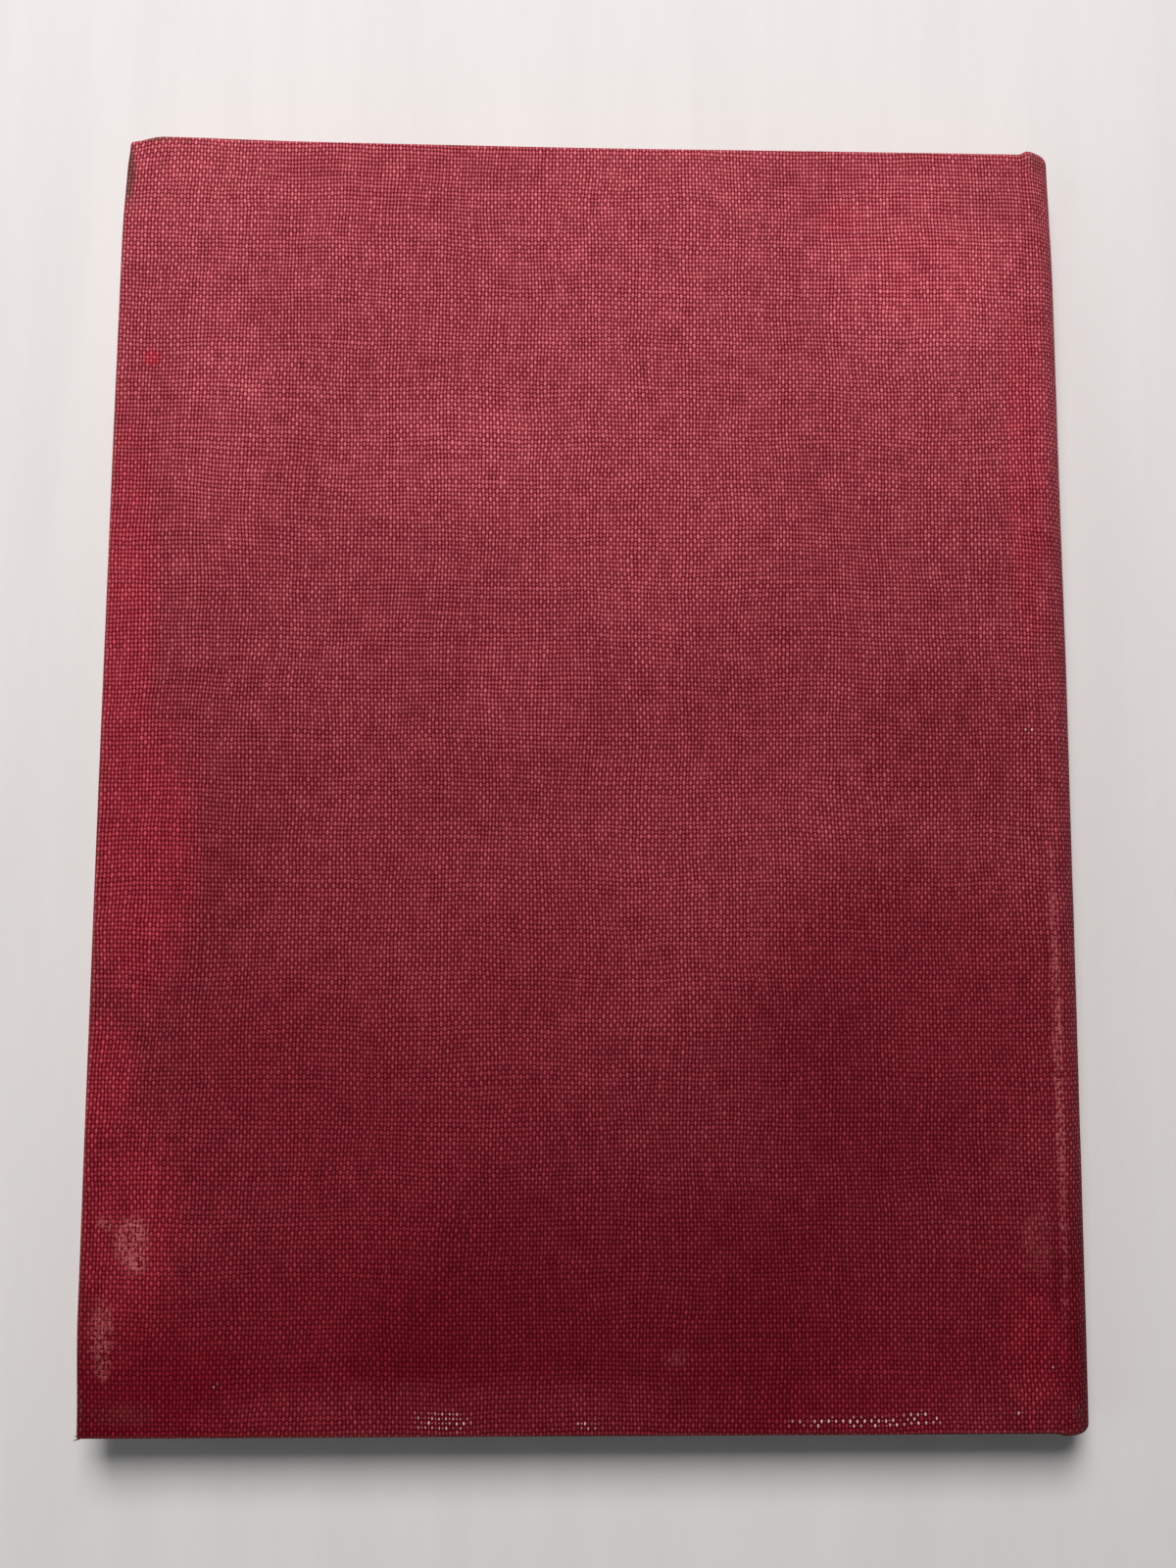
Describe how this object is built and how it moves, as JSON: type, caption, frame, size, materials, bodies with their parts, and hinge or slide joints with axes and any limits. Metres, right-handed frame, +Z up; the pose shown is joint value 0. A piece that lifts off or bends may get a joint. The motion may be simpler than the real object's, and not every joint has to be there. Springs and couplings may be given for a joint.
{
  "type": "hardback book",
  "caption": "Closed hardback book in plain dark red cloth, with hinged covers, a rounded hollow spine and corded caps.",
  "frame": {"origin": "on the surface that the book lies on, under the middle of its outline", "axes": "+X to the spine, +Y to the head, +Z up out of the back cover, which lies uppermost"},
  "size_m": [0.191, 0.2552, 0.012],
  "materials": {
    "cloth": "coarse plain-weave book cloth, faded and rubbed",
    "board": "grey-brown millboard",
    "leaves": "aged uncoated paper",
    "endpaper": "aged smooth paper",
    "gauze": "open starched gauze",
    "lining": "brown kraft paper",
    "cord": "twisted hemp cord"
  },
  "bodies": {
    "text_and_spine": {"text_block": "leaves", "back_flyleaf": "endpaper", "front_flyleaf": "endpaper", "spine_gauze": "gauze", "spine_lining": "lining", "spine_strip": "board", "spine_cloth": "cloth", "head_cap_cord": "cord", "tail_cap_cord": "cord"},
    "back_cover": {"back_board": "board", "back_cover_cloth": "cloth", "back_gauze_flange": "gauze", "back_pastedown": "endpaper"},
    "front_cover": {"front_board": "board", "front_cover_cloth": "cloth", "front_gauze_flange": "gauze", "front_pastedown": "endpaper"}
  },
  "joints": [
    {"name": "back_cover_hinge", "type": "hinge", "parent": "text_and_spine", "child": "back_cover", "pos_m": [0.0886, 0, 0.01215], "axis": [0, 1, 0], "range_deg": [0, 179.5]},
    {"name": "front_cover_hinge", "type": "hinge", "parent": "text_and_spine", "child": "front_cover", "pos_m": [0.0886, 0, -0.00015], "axis": [0, -1, 0], "range_deg": [0, 181.5]}
  ]
}
